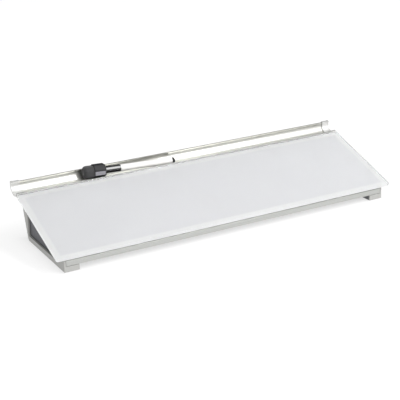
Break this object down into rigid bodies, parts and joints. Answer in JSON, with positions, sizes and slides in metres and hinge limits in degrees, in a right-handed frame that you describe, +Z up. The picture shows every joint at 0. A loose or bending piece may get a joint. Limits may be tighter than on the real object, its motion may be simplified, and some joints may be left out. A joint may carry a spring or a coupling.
{
  "type": "desktop glass whiteboard",
  "caption": "Low desktop whiteboard: tilted glass panel on silver side brackets with triangular windows, a round marker tray along its back and a capped marker with a felt eraser.",
  "frame": {"origin": "centre of the footprint, on the surface the feet stand on", "axes": "+X along the board to the writer's right, +Y from the writer towards the tray, +Z up"},
  "size_m": [0.4572, 0.1419, 0.0762],
  "materials": {
    "tempered_glass": "polished clear tempered glass over a white backing",
    "white_enamelled_steel": "smooth white enamel",
    "foam_tape": "matt closed-cell foam",
    "anodised_aluminium": "satin silver anodised, drawn lines along its length",
    "silver_painted_plastic": "satin silver paint on a fine moulded texture",
    "silver_moulded_plastic": "smooth moulded, light silver",
    "dark_grey_plastic": "fine moulded texture",
    "black_rubber": "matt",
    "zinc_plated_steel": "bright zinc plating",
    "white_plastic": "smooth moulded",
    "black_plastic": "fine moulded texture",
    "glossy_black_plastic": "polished",
    "ink_fibre": "bonded fibre",
    "inked_felt": "felt soaked in black ink",
    "grey_felt": "pressed felt"
  },
  "bodies": {
    "board": {"glass_panel": "tempered_glass", "steel_backing": "white_enamelled_steel", "front_foam_tape": "foam_tape", "rear_foam_tape": "foam_tape", "front_rail": "anodised_aluminium", "tray_rail": "anodised_aluminium", "tray_end_cap_left": "silver_moulded_plastic", "bracket_shell_left": "silver_painted_plastic", "bracket_core_left": "dark_grey_plastic", "tray_end_cap_right": "silver_moulded_plastic", "bracket_shell_right": "silver_painted_plastic", "bracket_core_right": "dark_grey_plastic", "rubber_foot_front_left": "black_rubber", "rubber_foot_front_right": "black_rubber", "rubber_foot_rear_left": "black_rubber", "rubber_foot_rear_right": "black_rubber", "front_rail_screw_left": "zinc_plated_steel", "tray_rail_screw_left": "zinc_plated_steel", "bracket_screw_nose_left": "zinc_plated_steel", "bracket_screw_leg_left": "zinc_plated_steel", "front_rail_screw_right": "zinc_plated_steel", "tray_rail_screw_right": "zinc_plated_steel", "bracket_screw_nose_right": "zinc_plated_steel", "bracket_screw_leg_right": "zinc_plated_steel"},
    "marker": {"marker_barrel": "white_plastic", "marker_end_plug": "black_plastic", "ink_reservoir": "ink_fibre", "nib_holder": "white_plastic", "nib": "inked_felt"},
    "marker_cap": {"marker_cap": "glossy_black_plastic", "eraser_holder": "black_plastic", "eraser_felt": "grey_felt"}
  },
  "joints": [
    {"name": "marker_lift", "type": "slide", "parent": "board", "child": "marker", "axis": [0, -0.3256, 0.9455], "range_m": [0, 0.06]},
    {"name": "cap_pull", "type": "slide", "parent": "marker", "child": "marker_cap", "axis": [-0.9987, 0, 0.0519], "range_m": [0, 0.03]}
  ]
}
